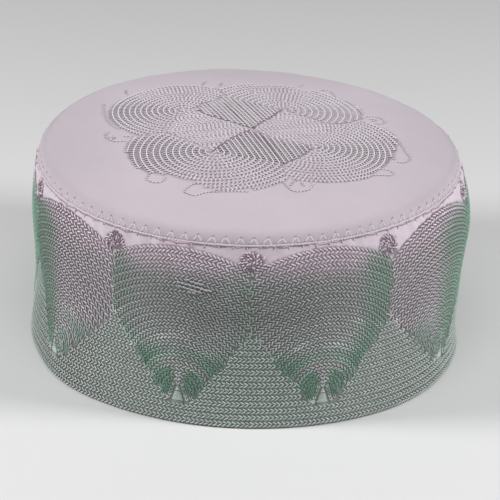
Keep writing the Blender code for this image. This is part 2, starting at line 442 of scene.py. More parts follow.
    def top(self, chart):
        """Points and normals of the top at places in the crown's chart."""
        x, y = chart[:, 0] * MM, chart[:, 1] * MM
        step = 0.6 * MM
        rise_x = (self.height_at(x + step, y) - self.height_at(x - step, y)) / (2 * step)
        rise_y = (self.height_at(x, y + step) - self.height_at(x, y - step)) / (2 * step)
        normals = np.stack([-rise_x, -rise_y, np.ones(len(x))], axis=1)
        return np.stack([x, y, self.height_at(x, y)], axis=1), unit(normals)


def azimuth_of(chart):
    """Azimuths, in degrees, of places in the band's chart."""
    return np.degrees(chart[:, 0] / CHART_RADIUS)


def way_round(azimuth):
    """How far round the cap azimuths in degrees are, in the band's chart."""
    return np.radians(azimuth) * CHART_RADIUS


def off_middle(azimuth, middle):
    """Degrees from a middle azimuth, -180 to 180."""
    return np.mod(azimuth - middle + 180.0, 360.0) - 180.0


def in_lobes(azimuth, height):
    """Each lobe, with whether places lie in it and how far they are from its point to its edge.

    The way to the edge counts from -1 at the left to 1 at the right, and a lobe's edges draw in
    towards its foot.
    """
    for lobe in LOBES:
        off = off_middle(azimuth, lobe.point)
        share = off / np.maximum(half_width(lobe, off) * lobe_half_share(height), 1e-6)
        fits = (np.abs(share) < 1.0) & (height > LOBE_FOOT) & (height < top_edge(lobe, azimuth))
        yield lobe, fits, share


def half_width(lobe, off):
    """Half a lobe's full width, in degrees, on the side of its point that a place is off to."""
    return np.where(off < 0.0, lobe.point - lobe.left, lobe.right - lobe.point)


def lobe_half_share(height):
    """Share of its half width that a lobe has at a height: a straight taper to its foot."""
    share = (height - LOBE_FOOT) / (LOBE_WIDEST - LOBE_FOOT)
    return np.clip(LOBE_FOOT_SHARE + (1.0 - LOBE_FOOT_SHARE) * share, 0.0, 1.0)


def lobe_share(azimuth, height):
    """Whether a place lies in a lobe, and how far it is from its middle to its edge, 0 to 1."""
    inside, across = np.zeros(azimuth.shape), np.ones(azimuth.shape)
    for _, fits, share in in_lobes(azimuth, height):
        inside = np.where(fits, 1.0, inside)
        across = np.where(fits, np.abs(share), across)
    return inside, across


def top_edge(lobe, azimuth):
    """Height of the arch that closes a lobe above."""
    off = way_round(off_middle(azimuth, 0.5 * (lobe.left + lobe.right)))
    across, down = arch_size(LOBE_TOP)
    return LOBE_TOP + 1.6 - down + down * np.sqrt(np.maximum(1.0 - (off / across) ** 2, 0.0))


def arch_size(top):
    """Half the width and half the height of the oval whose top is at a height."""
    tops = [row.top for row in ARCHES]
    return tuple(np.interp(top, tops, [getattr(row, key) for row in ARCHES]) for key in ("across", "down"))


# rows and stitches


def runs_inside(points, inside):
    """Split a line of points into the runs that lie inside an area."""
    marks = np.flatnonzero(np.diff(np.concatenate([[0], inside.astype(int), [0]])))
    return [points[start:end] for start, end in marks.reshape(-1, 2) if end - start > 3]


def travelled(line):
    """How far each point of a line is from its first, measured along the line."""
    steps = np.linalg.norm(np.diff(line, axis=0), axis=1)
    return np.concatenate([[0.0], np.cumsum(steps)])


def read_line(line, travel, asked):
    """A line's places at the asked distances along it, and its direction at each."""
    place, far, near = (
        np.stack([np.interp(asked + step, travel, line[:, axis]) for axis in (0, 1)], axis=1)
        for step in (0.0, WAY_STEP, -WAY_STEP)
    )
    return place, unit(far - near)


def step_along(line, pitch, phase=0.5):
    """Places about every pitch along a line, and the line's direction at each."""
    travel = travelled(line)
    count = int(travel[-1] / pitch)
    return read_line(line, travel, (np.arange(count) + phase) * (travel[-1] / max(count, 1)))


def round_line(knots, spacing=0.4):
    """A smooth line through a few knots: cubic pieces with slopes from the neighbours."""
    knots = np.asarray(knots, dtype=float)
    before = np.concatenate([[2 * knots[0] - knots[1]], knots[:-1]])
    after = np.concatenate([knots[1:], [2 * knots[-1] - knots[-2]]])
    slope = 0.5 * (after - before)
    span = np.linalg.norm(np.diff(knots, axis=0), axis=1)
    pieces = []
    for index in range(len(knots) - 1):
        t = np.linspace(0.0, 1.0, max(3, int(span[index] / spacing)), endpoint=False)[:, None]
        start = (2 * t**3 - 3 * t**2 + 1) * knots[index] + (t**3 - 2 * t**2 + t) * slope[index]
        end = (3 * t**2 - 2 * t**3) * knots[index + 1] + (t**3 - t**2) * slope[index + 1]
        pieces.append(start + end)
    pieces.append(knots[-1:])
    return np.concatenate(pieces)


def soften(line, reach):
    """Round a line's bends: each point becomes the mean of its neighbours within a reach."""
    span = np.ones(2 * reach + 1) / (2 * reach + 1)
    padded = np.pad(line, ((reach, reach), (0, 0)), mode="edge")
    return np.stack([np.convolve(padded[:, axis], span, "valid") for axis in (0, 1)], axis=1)


def room_inside(chart, outline):
    """How far places lie inside a closed outline from its nearest side, below nought outside.

    A place is inside if an odd number of the outline's sides lie level with it on its right.
    """
    start, end = outline[None], np.roll(outline, -1, axis=0)[None]
    place = chart[:, None]
    side, off = end - start, place - start
    along = np.clip(np.sum(off * side, axis=2) / np.sum(side * side, axis=2), 0.0, 1.0)
    far = np.linalg.norm(off - along[..., None] * side, axis=2).min(axis=1)
    level = (start[..., 1] > place[..., 1]) != (end[..., 1] > place[..., 1])
    rise = np.where(side[..., 1] == 0.0, 1.0, side[..., 1])
    right = place[..., 0] < start[..., 0] + off[..., 1] * side[..., 0] / rise
    odd = np.sum(level & right, axis=1) % 2 == 1
    return np.where(odd, far, -far)


class Stitches:
    """Grains of thread gathered in a chart: both ends, width, height, lifts and dye."""

    def __init__(self, seed):
        self.parts = []
        self.chance = np.random.default_rng(seed)

    def add(self, tail, tip, half_width, half_height, tail_lift, tip_lift, arch, bow, dye):
        """Take in grains; sizes are in millimetres, and a single number serves them all."""
        count = len(tail)
        if not count:
            return
        cols = [np.broadcast_to(np.asarray(c, dtype=float), (count,)) for c in
                (half_width, half_height, tail_lift, tip_lift, arch, bow)]
        dye = np.broadcast_to(np.asarray(dye, dtype=float), (count, 3))
        self.parts.append((tail, tip, np.stack(cols, axis=1), dye))

    def chain(self, place, way, reach, length, half_width, dye, tip_lift=0.34, tail_lift=0.12,
              gaps=(0.1, 0.1), aside=0.0):
        """Two grains a stitch, from near the row's edges at its tail to near its middle at its tip.

        The gaps are what is left free at the row's middle and at its edges, and the upper grain
        is moved along the row by the share of a stitch given as aside.
        """
        count = len(place)
        if not count:
            return
        side = pairs(-way[:, 1], way[:, 0])
        outer = np.broadcast_to(reach, (count,))[:, None] - gaps[1]
        for sign, shift in ((1.0, aside * length), (-1.0, 0.0)):
            jog = self.chance.normal(0.0, 0.05, (count, 2)) + shift * way
            tail = place - 0.5 * length * way + sign * outer * side + jog
            tip = place + 0.5 * length * way + sign * gaps[0] * side + jog
            shade = self.chance.normal(1.0, 0.06, (count, 1))
            width = half_width * self.chance.normal(1.0, 0.05, count)
            self.add(tail, tip, width, 0.55 * width, tail_lift, tip_lift, 0.08, 0.0, dye * shade)

    def strand(self, line, pitch, half_width, half_height, lift, dye):
        """Grains end to end along a line, each running on a little over the next."""
        place, way = step_along(line, pitch)
        half = 0.62 * pitch * way
        self.add(place - half, place + half, half_width, half_height, lift, lift, 0.05, 0.0, dye)

    def gathered(self):
        """All the grains' tails, tips, sizes in metres and dyes."""
        tails, tips, sizes, dyes = (np.concatenate(column) for column in zip(*self.parts))
        return tails, tips, sizes * MM, np.clip(dyes, 0.0, 1.0)


def grain_mesh(name, stitches, surface):
    """A mesh of all the grains: two rings of five corners and two tips, arched over the cloth.

    A grain's middle line is tail + u (tip - tail) + normal (lift + 4 arch u (1 - u)) + side
    4 bow u (1 - u), with u from 0 to 1, and its rings are flattened rounds about that line.
    """
    tails, tips, sizes, dyes = stitches.gathered()
    width, height, tail_lift, tip_lift, arch, bow = sizes.T[..., None, None]
    start, normal_start = surface(tails)
    end, normal_end = surface(tips)
    up = unit(normal_start + normal_end)
    along = end - start
    length = np.linalg.norm(along, axis=1)
    side = unit(np.cross(along, up))
    u = RING_PLACES[None, :, None]
    hump = 4.0 * u * (1.0 - u)
    lift = tail_lift * (1 - u) + tip_lift * u + arch * hump
    middle = start[:, None] + u * along[:, None] + lift * up[:, None] + bow * hump * side[:, None]
    across = np.cos(CORNER_TURNS)[None, None, :, None] * width[..., None] * side[:, None, None]
    rise = np.sin(CORNER_TURNS)[None, None, :, None] * height[..., None] * up[:, None, None]
    rings = middle[:, :, None] + (across + rise)

    count, corner_count = len(rings), len(CORNER_TURNS)
    first = start + tail_lift[..., 0] * up
    last = end + tip_lift[..., 0] * up
    points = np.concatenate([first[:, None], rings.reshape(count, -1, 3), last[:, None]], axis=1)
    each = points.shape[1]

    corner = np.arange(corner_count)
    following = (corner + 1) % corner_count
    near, near_next = 1 + corner, 1 + following
    far, far_next = near + corner_count, near_next + corner_count
    fan_first = np.stack([0 * corner, near, near_next], axis=1)
    strips = np.stack([near, far, far_next, near_next], axis=1)
    fan_last = np.stack([0 * corner + each - 1, far_next, far], axis=1)
    pattern = np.concatenate([fan_first.ravel(), strips.ravel(), fan_last.ravel()])

    share = np.concatenate([[0.0], np.repeat(RING_PLACES, corner_count), [1.0]])
    here = corner / corner_count
    half, following = here + 0.5 / corner_count, here + 1.0 / corner_count
    turns = ([half, here, following], [here, here, following, following], [half, following, here])
    uv = np.empty((count, len(pattern), 2))
    uv[..., 0] = share[pattern] * (length[:, None] / MM)
    uv[..., 1] = np.concatenate([np.stack(turn, axis=1).ravel() for turn in turns])

    corners = (pattern[None] + each * np.arange(count)[:, None]).ravel()
    face_sizes = np.tile(np.repeat([3, 4, 3], corner_count), count)
    dye = np.repeat(dyes, each, axis=0)
    return fill_mesh(name, points.reshape(-1, 3), corners, face_sizes, uv.reshape(-1, 2), dye)


def fill_mesh(name, points, corners, face_sizes, uv, dye):
    """Put whole arrays into a mesh: points, each face's corners, a map and a dye per point."""
    mesh = bpy.data.meshes.new(name)
    mesh.vertices.add(len(points))
    mesh.vertices.foreach_set("co", np.ascontiguousarray(points, dtype=np.float32).ravel())
    mesh.loops.add(len(corners))
    mesh.loops.foreach_set("vertex_index", corners.astype(np.int32))
    mesh.polygons.add(len(face_sizes))
    starts = np.concatenate([[0], np.cumsum(face_sizes)[:-1]])
    mesh.polygons.foreach_set("loop_start", starts.astype(np.int32))
    mesh.update(calc_edges=True)
    layer = mesh.uv_layers.new(name="lay")
    layer.data.foreach_set("uv", np.ascontiguousarray(uv, dtype=np.float32).ravel())
    attribute = mesh.attributes.new("dye", "FLOAT_COLOR", "POINT")
    colour = np.concatenate([dye, np.ones((len(dye), 1))], axis=1)
    attribute.data.foreach_set("color", colour.astype(np.float32).ravel())
    mesh.shade_smooth()
    if mesh.validate():
        raise RuntimeError(f"{name} has a face that doesn't hold together")
    return mesh


def add_piece(mesh, material):
    """Link the mesh as a piece at the origin that rides on the cap and names its finish."""
    piece = bpy.data.objects.new(mesh.name, mesh)
    bpy.context.scene.collection.objects.link(piece)
    mesh.materials.append(material)
    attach(piece, "root")
    return piece


# cloth shells


def ring_mesh(name, rings, uv, dye, closed, poles=False):
    """A mesh from rings of points: strips between neighbours, joined last to first if closed.

    Rings run from the outer face over the edge to the inner face; with poles, the first and
    the last ring each close in one point.
    """
    ring_count, around = rings.shape[:2]
    points = rings.reshape(-1, 3)
    index = np.arange(ring_count * around).reshape(ring_count, around)
    upper = np.roll(index, -1, axis=0) if closed else index[1:]
    lower = index if closed else index[:-1]
    right_upper, right_lower = np.roll(upper, -1, axis=1), np.roll(lower, -1, axis=1)
    quads = np.stack([lower, right_lower, right_upper, upper], axis=-1).reshape(-1, 4)
    wrap = np.broadcast_to(np.arange(around) == around - 1, lower.shape)
    places = uv.reshape(-1, 2)
    corner_uv = places[quads]
    if not poles:
        corner_uv[wrap.reshape(-1), 1:3, 0] += AROUND
    corners, sizes, maps = quads.ravel(), np.full(len(quads), 4), corner_uv.reshape(-1, 2)
    dyes = dye.reshape(-1, 3)
    if poles:
        ends, fans, fan_maps = [], [], []
        for turn, ring in enumerate((0, ring_count - 1)):
            pole = rings[ring].mean(axis=0)
            here, nearby = index[ring], np.roll(index[ring], -1)
            centre = np.full(around, len(points) + turn)
            order = (centre, nearby, here) if turn == 0 else (centre, here, nearby)
            fan = np.stack(order, axis=1)
            ends.append(pole)
            fans.append(fan)
            middle = np.tile(places[index[ring]].mean(axis=0), (around, 1))
            fan_maps.append(np.stack([middle, places[fan[:, 1]], places[fan[:, 2]]], axis=1))
        points = np.concatenate([points, ends])
        dyes = np.concatenate([dyes, dyes[index[0, :1]], dyes[index[-1, :1]]])
        corners = np.concatenate([corners] + [fan.ravel() for fan in fans])
        sizes = np.concatenate([sizes] + [np.full(around, 3)] * 2)
        maps = np.concatenate([maps] + [fan.reshape(-1, 2) for fan in fan_maps])
    return fill_mesh(name, points, corners, sizes, maps, dyes)


def covered(chart):
    """Whether places on the band lie under embroidery: the lobes, the ground and the knots."""
    azimuth = azimuth_of(chart)
    under = np.zeros(len(chart), dtype=bool)
    for lobe in LOBES:
        off = off_middle(azimuth, 0.5 * (lobe.left + lobe.right))
        near = np.abs(off) < 0.5 * (lobe.right - lobe.left) + 0.01
        under |= near & (chart[:, 1] < top_edge(lobe, azimuth) - 1.4)
        off = way_round(off_middle(azimuth, lobe.right))
        under |= np.hypot(off / KNOT_WIDTH, chart[:, 1] - KNOT_HEIGHT) < 4.7
    return under


def ease(value):
    """From 0 to 1 as the value does, with a soft start and a soft end."""
    value = np.clip(value, 0.0, 1.0)
    return value * value * (3.0 - 2.0 * value)


def lobe_tints(chart):
    """How green the lobes are at places, how much a painted highlight lightens them, 0 to 1, and
    how far places lie low in them.

    A painted green shade comes in from a lobe's edges by its own shares, and covers the lobes at
    the cap's left and right, where the band turns away towards its outline. The lobes' own green
    is strongest in the two eyes beside the column above the point and in the corners outside the
    lowest arches.
    """
    azimuth, height = azimuth_of(chart), chart[:, 1]
    # Painted green shade over the cap's left and right, where the band turns away towards its outline
    outline = ease((np.abs(np.sin(chart[:, 0] / CHART_RADIUS)) - 0.81) / 0.1)
    green, pale, deep = np.zeros((3, len(chart)))
    for lobe, fits, share in in_lobes(azimuth, height):
        # Painted green shade coming in from each edge of the lobe
        edge = np.where(share < 0.0, lobe.green_left, lobe.green_right)
        painted_edge_shade = np.clip(2.0 * edge, 0.0, 1.0) * ease((np.abs(share) - 0.8 * (1.0 - edge)) / 0.35)
        painted_edge_shade = np.maximum(painted_edge_shade, outline) * ease((81.0 - height) / 12.0)
        x = way_round(np.abs(off_middle(azimuth, lobe.point)))
        eye = ease((1.25 - np.hypot((x - 6.2) / 5.0, (height - 18.5) / 6.5)) / 0.4) * ease((x - 1.2) / 1.5)
        corner = ease((np.hypot(x / 13.5, (height - 20.0) / 11.0) - 0.9) / 0.2)
        corner = corner * ease((38.0 - height) / 11.0)
        at_side = side_share(np.array([[way_round(lobe.point)]]))[0, 0]
        low = np.maximum(eye, corner) * (1.0 - 0.4 * at_side)
        green = np.where(fits, np.maximum(painted_edge_shade, low), green)
        # Painted highlight: each lobe lightened by its own share, less under the painted edge shade
        pale = np.where(fits, lobe.pale * (1.0 - painted_edge_shade), pale)
        deep = np.where(fits, low, deep)
    return green[:, None], pale[:, None], deep[:, None]


def side_share(chart):
    """How far places lie towards the cap's left and right, 0 to 1, as a column."""
    return ease(3.0 * (np.abs(np.sin(chart[:, :1] / CHART_RADIUS)) - 0.5))


def band_dye(chart, cloth):
    """The band's cloth: lilac near the seam, green below, greenest in the lobes' low corners."""
    rise = ease((chart[:, 1] - 66.0) / 9.0)[:, None]
    green, _, _ = lobe_tints(chart)
    own = np.array(cloth.green_colour) * (1 - rise) + np.array(cloth.lilac_colour) * rise
    return own * (1 - green) + np.array(cloth.deep_green_colour) * green


def thread_dye(chart, thread):
    """The thread on the band: white near the seam, darkest half way down under a painted shade,
    green where lobes are, with painted highlights towards the cap's sides.
    """
    height = chart[:, 1:]
    inside = lobe_share(azimuth_of(chart), chart[:, 1])[0][:, None]
    green, pale, deep = lobe_tints(chart)
    # Painted shade: the thread in the lobes darkens towards their middle heights
    painted_mid_shade = ease((height - 32.0) / 28.0) * inside
    below = np.array(thread.lobe_colour) * inside + np.array(thread.ground_colour) * (1 - inside)
    below = below * (1 - 0.3 * painted_mid_shade)
    rise = ease((height - 64.0) / 15.0)
    own = below * (1 - rise) + np.array(thread.high_colour) * rise
    # Painted highlight: lobes lightened towards the thread's colour near the seam
    own = own * (1 - 0.8 * pale) + np.array(thread.high_colour) * 0.8 * pale
    tint = np.array(thread.green_colour) * (1 - 0.35 * deep)
    # Green: the lobes' own green low down, and painted green shade at their edges and the cap's sides
    dye = own * (1 - 0.85 * green) + tint * 0.85 * green
    # Painted highlight: the thread a little brighter towards the cap's left and right
    return dye * (1 + 0.42 * near_strands(chart)) * (1 + 0.1 * side_share(chart))


def near_strands(chart):
    """How near places are to the brighter lines, 0 to 1: a bell of the distance, 0.9 mm wide."""
    lines = np.concatenate([round_line(np.array(knots) * CHART_SCALE) for knots in STRANDS])
    low, high = lines.min(axis=0) - 3.0, lines.max(axis=0) + 3.0
    near = np.zeros((len(chart), 1))
    close = np.all((chart > low) & (chart < high), axis=1)
    if close.any():
        gap = np.linalg.norm(chart[close][:, None] - lines[None], axis=2).min(axis=1)
        near[close, 0] = np.exp(-((gap / 0.9) ** 2))
    return near


def wall_ring(form, turns, height, depth):
    """Points round the wall at a height, moved level towards the axis by a depth."""
    points, normals = form.wall(pairs(turns, height))
    normals[:, 2] = 0.0
    return points - depth * MM * unit(normals)


def build_crown_cloth(form, cloth):
    """The crown's cloth as one closed skin: over the dome, down behind the band, and back up.

    Its outer face is the frame's own; every other ring is that face moved in along its normal.
    """
    around = 288
    turns = np.linspace(0.0, 2.0 * pi, around, endpoint=False) * CHART_RADIUS
    length = form.crown_length

    def ring(travel, depth):
        points, normals = form.shoulder(pairs(turns, travel))
        return points - depth * MM * normals

    def tucked(below, depth):
        return wall_ring(form, turns, SEAM - below, depth)

    outer = np.concatenate([np.linspace(length - 2.0, 16.0, 56), np.linspace(15.2, 0.5, 28)])
    rings = [ring(travel, 0.0) for travel in outer]
    rings += [ring(0.1, 0.5), tucked(0.2, 2.4), tucked(4.8, 2.4), tucked(4.8, 3.3), tucked(0.2, 3.3)]
    rings += [ring(travel, cloth.crown_thickness / MM) for travel in np.linspace(6.5, length - 2.0, 24)]
    rings = np.array(rings)
    uv = rings[..., :2] / MM
    dye = np.broadcast_to(np.array(cloth.crown_colour), rings.shape).copy()
    inside = rings[..., 2] < (SEAM + 0.2) * MM
    dye[inside] = np.array(cloth.lilac_colour)
    flat = rings.reshape(-1, 3)[:, :2] / MM
    # Painted shade: the crown's cloth darker towards its left and right and towards its back
    duller = 0.09 * ease((np.abs(flat[:, 0]) - 45.0) / 40.0) + 0.12 * ease((flat[:, 1] - 50.0) / 35.0)
    dye *= 1.0 - duller.reshape(rings.shape[:2])[..., None]
    # Painted shade on the cloth between the rosette's rows, deepest where they run front to back
    ground = np.zeros(len(flat))
    for index, petal in enumerate(PETALS):
        cover = ease((room_inside(flat, petal_outline(index)) + 0.2) / 1.0)
        ground = np.maximum(ground, cover * painted_row_shade(petal, flat))
    ground = ground.reshape(rings.shape[:2])[..., None] * (rings[..., 2:] > 0.09)
    dye = dye * (1 - ground) + np.array(cloth.rosette_shadow_colour) * ground
    return ring_mesh("crown_cloth", rings, uv, dye, closed=False, poles=True)


def build_band_cloth(form, cloth):
    """The band's cloth as one closed ring: outer face, top edge, inner face, rolled hem."""
    around = 480
    turns = np.linspace(0.0, 2.0 * pi, around, endpoint=False) * CHART_RADIUS
    thick = cloth.band_thickness / MM
    roll = 0.5 * thick
    fold = np.radians([90.0, 60.0, 30.0, 0.0])
    stations = [(max(roll * (1.0 - np.sin(t)), 0.02), roll * (1.0 - np.cos(t))) for t in fold]
    stations += [(height, 0.0) for height in np.linspace(roll + 1.0, 74.0, 62)]
    stations += [(height, 0.0) for height in np.linspace(74.8, SEAM - 0.3, 14)]
    stations += [(SEAM - 0.1, 0.4), (SEAM - 0.1, thick - 0.3), (SEAM - 0.4, thick)]
    stations += [(height, thick) for height in np.linspace(SEAM - 4.0, 4.0, 12)]
    stations += [(roll, thick), (roll * 0.5, thick - roll * 0.13), (roll * 0.13, thick - roll * 0.5)]
    rings = np.array([wall_ring(form, turns, *station) for station in stations])
    heights = np.array([height for height, _ in stations])
    chart = np.stack(np.broadcast_arrays(turns[None], heights[:, None]), axis=-1)
    flat = chart.reshape(-1, 2)
    dye = band_dye(flat, cloth)
    _, _, deep = lobe_tints(flat)
    inside, _ = lobe_share(np.degrees(flat[:, 0] / CHART_RADIUS), flat[:, 1])
    ground = ((inside == 0.0) & (flat[:, 1] < LOBE_WIDEST))[:, None]
    # Painted shade between the stitches: the cloth under them keeps only the shade share of its colour, a
    # little more in the ground rows and most there at the front, and the rest is the stitch shadow colour;
    # towards the cap's left and right the painted shade is deeper
    kept = cloth.shade + ground * (0.04 + 0.2 * np.cos(0.5 * flat[:, :1] / CHART_RADIUS) ** 32)
    side = side_share(flat)
    kept = kept * (1.0 - 0.5 * side)
    under = (dye * kept + np.array(cloth.stitch_shadow_colour) * (1.0 - kept)) * (1.0 - 0.4 * side)
    under = under * (1 - deep) + np.array(cloth.deep_green_colour) * 0.95 * deep
    dye = np.where(covered(flat)[:, None], under, dye).reshape(rings.shape)
    # Painted shadow of the seam's groove along the band's top edge
    dye[(heights > SEAM - 0.2) & (heights < SEAM)] = np.array(cloth.dark_thread_and_shadow_colour)
    return ring_mesh("band_cloth", rings, chart, dye, closed=True)


# embroidery


def lobe_area(lobe, chart):
    """Whether places lie in one lobe or a row's overlap past its edges."""
    off = azimuth_of(chart) - lobe.point
    room = way_round(half_width(lobe, off) * lobe_half_share(chart[:, 1])) + LOBE_OVERLAP
    return (way_round(np.abs(off)) < room) & (chart[:, 1] > LOBE_FOOT + 1.5)


def arch_line(lobe, top):
    """A row: the upper part of an oval whose top is at a height, in the band's chart."""
    lean = np.clip((top - 40.0) / 25.0, 0.0, 1.0)
    x = way_round(lobe.point * (1 - lean) + 0.5 * (lobe.left + lobe.right) * lean)
    across, down = arch_size(top)
    return pairs(x + across * np.sin(ARCH_TURNS), top - down + down * np.cos(ARCH_TURNS))


def travel_from_middle(line):
    """How far each point of a line is from its middle point, measured along the line."""
    travel = travelled(line)
    return travel - travel[len(line) // 2]


def row_chains(stitches, run, pitch, thread, drift, size=1.0, gaps=(0.1, 0.24), aside=0.25):
    """Chain along one run of a row, as wide as the room between it and the next row.

    The run's columns are the place, the room and the travel from the row's middle. Stitches
    come at whole numbers of steps from there, give or take the drift, a share of a step.
    """
    step = size * thread.stitch_length / MM
    travel = run[:, 3]
    first, last = travel[[0, -1]]
    asked = (np.arange(np.ceil(first / step), np.floor(last / step)) + 0.5 + drift) * step
    asked = asked[(asked > first) & (asked < last)]
    if not len(asked):
        return
    place, way = read_line(run, travel, asked)
    room = np.interp(asked, travel, run[:, 2])
    reach = np.clip(room / pitch, 0.6, 1.4) * 0.5 * pitch * stitches.chance.uniform(0.93, 1.01)
    length = size * thread.leg_length / MM * stitches.chance.uniform(0.97, 1.03)
    dye = thread_dye(place, thread)
    stitches.chain(place, way, reach, length, thread.grain_width / MM * 0.5, dye, gaps=gaps, aside=aside)


def stitch_lobe(index, form, thread):
    """One lobe: arches of chain, with half rows let in where the arches spread apart."""
    lobe = LOBES[index]
    stitches = Stitches(SEEDS["lobe"] + index)
    pitch = thread.lobe_row / MM
    upright = np.abs(ARCH_TURNS) < ARCH_REACH
    coarse = ease(3.0 * (abs(np.sin(radians(lobe.point))) - 0.5))
    size, gaps = 1.0 + 0.25 * coarse, (0.15 + 0.08 * coarse, 0.19 + 0.08 * coarse)
    for top in np.arange(LOBE_TOP - 0.5 * pitch, LOBE_FOOT + 5.0, -pitch):
        above, line, below = (arch_line(lobe, top + share * pitch) for share in (0.5, 0.0, -0.5))
        room = np.linalg.norm(above - below, axis=1)
        wide = room > 1.4 * pitch
        rows = (line, np.where(wide, 0.5 * room, room), upright), (below, 0.5 * room, upright & wide)
        for row, width, kept in rows:
            columns = np.column_stack([row, width, travel_from_middle(row)])
            for run in runs_inside(columns, lobe_area(lobe, row) & kept):
                drift = stitches.chance.normal(0.0, 0.2)
                row_chains(stitches, run, pitch, thread, drift, size, gaps, 0.5)
    stitch_lobe_foot(lobe, stitches, thread)
    return grain_mesh(f"lobe_{index + 1}", stitches, form.wall)


def stitch_lobe_foot(lobe, stitches, thread):
    """Below the arches: a row down to the motif, and three either side of it, the outer ones duller."""
    x = way_round(lobe.point)
    place, way = step_along(round_line([(x, 23.0), (x, 17.8)]), 1.4)
    stitches.chain(place, way, 0.9, 1.3, 0.3, thread_dye(place, thread) * 1.1)
    for side in (-1, 1):
        for out, tone in ((0.0, 1.15), (1.9, 0.9), (3.7, 0.9)):
            knots = [(1.7 + out, 18.8), (3.0 + out, 14.5), (4.4 + 0.8 * out, 10.5 + 0.55 * out)]
            place, way = step_along(round_line(np.array(knots) * [side, 1.0] + [x, 0.0]), 1.5)
            stitches.chain(place, way, 0.75, 1.4, 0.28, thread_dye(place, thread) * tone)


def stitch_strands(form, cloth, thread):
    """The one patch of satin strands over the rows of a lobe, each beside a dark strand that is
    its painted shadow.
    """
    stitches = Stitches(SEEDS["satin"])
    for knots in SATIN:
        line = round_line(np.array(knots) * CHART_SCALE)
        line[:, 1] += 0.12 * np.sin(line[:, 0] * 3.1)
        # A dark strand just below each one: its painted shadow
        stitches.strand(line - [0.0, 0.62], 1.6, 0.4, 0.14, 0.36, np.array(cloth.stitch_shadow_colour) * 0.8)
        stitches.strand(line, 1.6, 0.36, 0.24, 0.45, np.array(thread.high_colour) * [0.7, 0.86, 0.78])
    return grain_mesh("satin_strands", stitches, form.wall)


def motif_area(chart):
    """Whether places lie on or close to the small plain motif below a lobe's point."""
    azimuth, height, margin = azimuth_of(chart), chart[:, 1], 0.4
    taken = np.zeros(len(chart), dtype=bool)
    half = np.interp(height, [10.4, 14.5, 17.4], [3.4, 2.1, 1.2]) + margin
    for lobe in LOBES:
        x = way_round(np.abs(off_middle(azimuth, lobe.point)))
        taken |= (height > 8.6 - margin) & (height < 17.4) & (x < half)
    return taken


def ground_line(height, left, right, pitch):
    """A level row: its places, its room and its travel, which is the way round the cap."""
    x = np.arange(left, right, LEVEL_STEP)
    return np.column_stack([x, np.full(len(x), height), np.full(len(x), pitch), x])


def stitch_border(form, thread):
    """Rows of chain that run right round the cap below the lobes' points, from the back."""
    stitches = Stitches(SEEDS["border"])
    pitch = thread.ground_row / MM
    for height in np.arange(2.0, LOBE_FOOT - 1.0, pitch):
        line = ground_line(height, 0.5 * AROUND, 1.5 * AROUND + 1.2, pitch)
        for run in runs_inside(line, ~motif_area(line)):
            row_chains(stitches, run, pitch, thread, stitches.chance.uniform(0.0, 1.0))
    return grain_mesh("border_rows", stitches, form.wall)


def stitch_ground(index, form, thread):
    """The ground between two neighbouring lobes: rows of chain that follow the rim."""
    lobe, following = LOBES[index], LOBES[(index + 1) % len(LOBES)]
    turn = 360.0 if following.point < lobe.point else 0.0
    start, edge, end = (way_round(azimuth) for azimuth in (lobe.point, lobe.right, following.point + turn))
    stitches = Stitches(SEEDS["ground"] + index)
    pitch = thread.ground_row / MM
    first = 2.0 + pitch * np.ceil((LOBE_FOOT - 3.0) / pitch)
    for height in np.arange(first, LOBE_WIDEST, pitch):
        line = ground_line(height, start, end, pitch)
        share = lobe_half_share(height)
        left = start + (edge - start) * share - GROUND_OVERLAP
        right = end - (end - edge) * share + GROUND_OVERLAP
        for run in runs_inside(line, (line[:, 0] > left) & (line[:, 0] < right) & ~motif_area(line)):
            row_chains(stitches, run, pitch, thread, stitches.chance.uniform(0.0, 1.0))
    return grain_mesh(f"ground_{index + 1}", stitches, form.wall)


def stitch_knots(form, cloth, thread):
    """A domed whorl of stitches where two lobes meet at the seam, and the seam's wavy dark line,
    the painted shadow of its groove.
    """
    stitches = Stitches(SEEDS["knots"])
    high, dark = np.array(thread.high_colour), np.array(cloth.dark_thread_and_shadow_colour)
    for lobe in LOBES:
        centre = np.array([way_round(lobe.right), KNOT_HEIGHT])
        for ring in WHORL:
            spoke = np.arange(radians(-ring.below), radians(180.0 + ring.below), 1.3 / ring.radius)
            way = pairs(KNOT_WIDTH * np.cos(spoke), KNOT_RISE * np.sin(spoke))
            swirl = pairs(-np.sin(spoke), np.cos(spoke)) * 0.35
            drift = stitches.chance.normal(0.0, 0.12, way.shape)
            darker = stitches.chance.random((len(way), 1)) < KNOT_DARK_SHARE
            dye = np.where(darker, dark * 0.85, high * 1.02)
            size = 0.93 * ring.radius * stitches.chance.normal(1.0, 0.07, (len(way), 1))
            tail, tip = centre + (size - 0.5) * way - swirl, centre + (size + 0.6) * way + swirl + drift
            stitches.add(tail, tip, 0.33, 0.28, ring.lift, ring.lift - 0.25, 0.2, 0.1, dye)
    foot, pitch = zigzag_feet(thread)
    x = (foot[:, None] + np.linspace(0.0, 1.0, 5)[:-1] * pitch).ravel()
    line = pairs(x, SEAM - 0.6 + 0.22 * np.sin(x * 0.75) + 0.12 * np.sin(x * 0.31))
    # The wavy dark line: painted shadow of the seam's groove
    stitches.add(line[:-1] - [0.2, 0.0], line[1:] + [0.2, 0.0], 0.28, 0.12, 0.04, 0.04, 0.02, 0.0, dark)
    top = pairs(foot, SEAM - 0.4)
    for aside, dye in ((-0.3, dark), (0.2, high)):
        low = top + [aside, -1.1] + stitches.chance.normal(0.0, 0.3, top.shape)
        stitches.add(top + [aside, 0.0], low, 0.22, 0.16, 0.1, 0.05, 0.1, 0.0, dye)
    return grain_mesh("seam_knots", stitches, form.wall)


